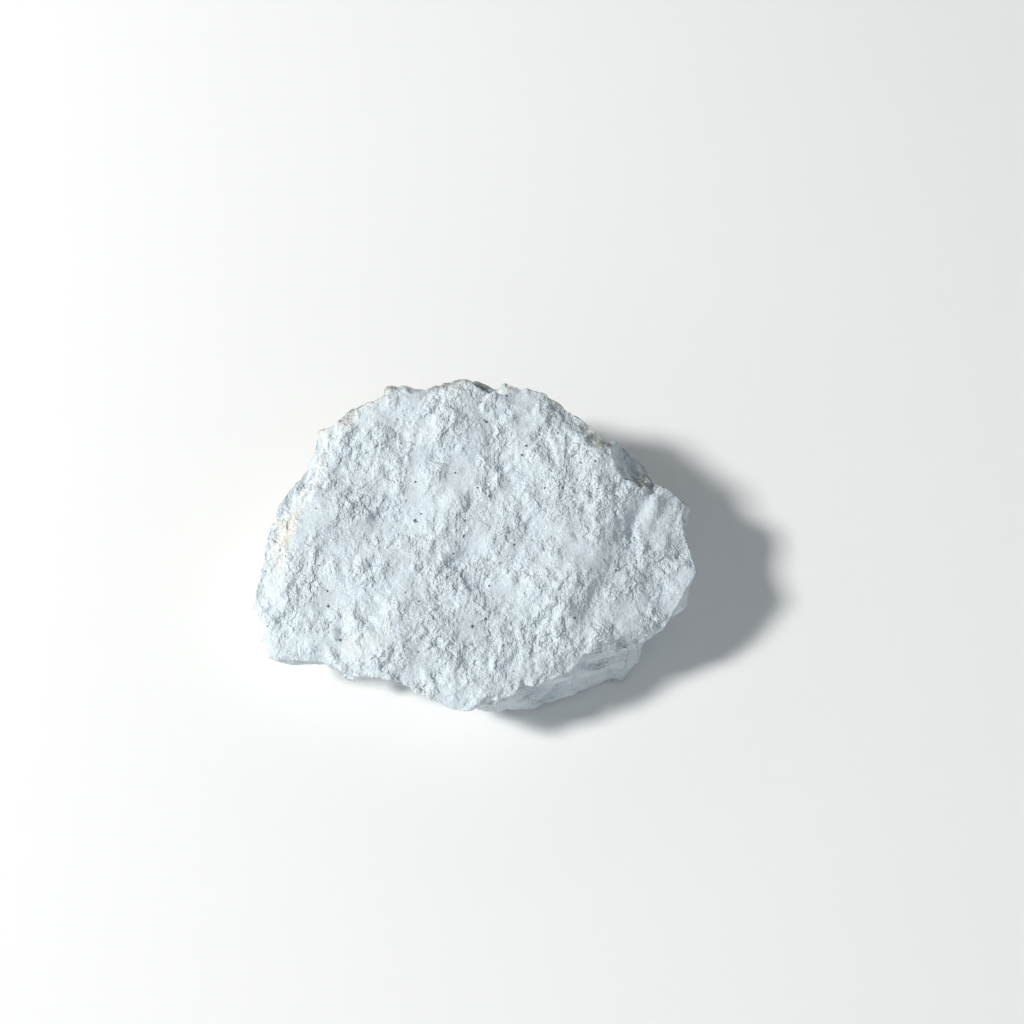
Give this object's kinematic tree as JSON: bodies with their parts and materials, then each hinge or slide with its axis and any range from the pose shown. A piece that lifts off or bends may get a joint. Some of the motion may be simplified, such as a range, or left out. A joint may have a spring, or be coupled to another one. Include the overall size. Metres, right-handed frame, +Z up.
{
  "type": "limestone rock",
  "caption": "Broken block of white limestone with one broad rough face, a chipped rim, fractured walls and a flat spot underneath to rest on.",
  "frame": {"origin": "on the ground, under the middle of the block's bounding box", "axes": "+X along the block's length, +Y towards its thick edge, +Z up from the side it rests on to the broad rough face"},
  "size_m": [0.1808, 0.1472, 0.0541],
  "materials": {
    "limestone": "dry rough broken limestone, matt"
  },
  "bodies": {
    "root": {"limestone": "limestone"}
  },
  "joints": []
}
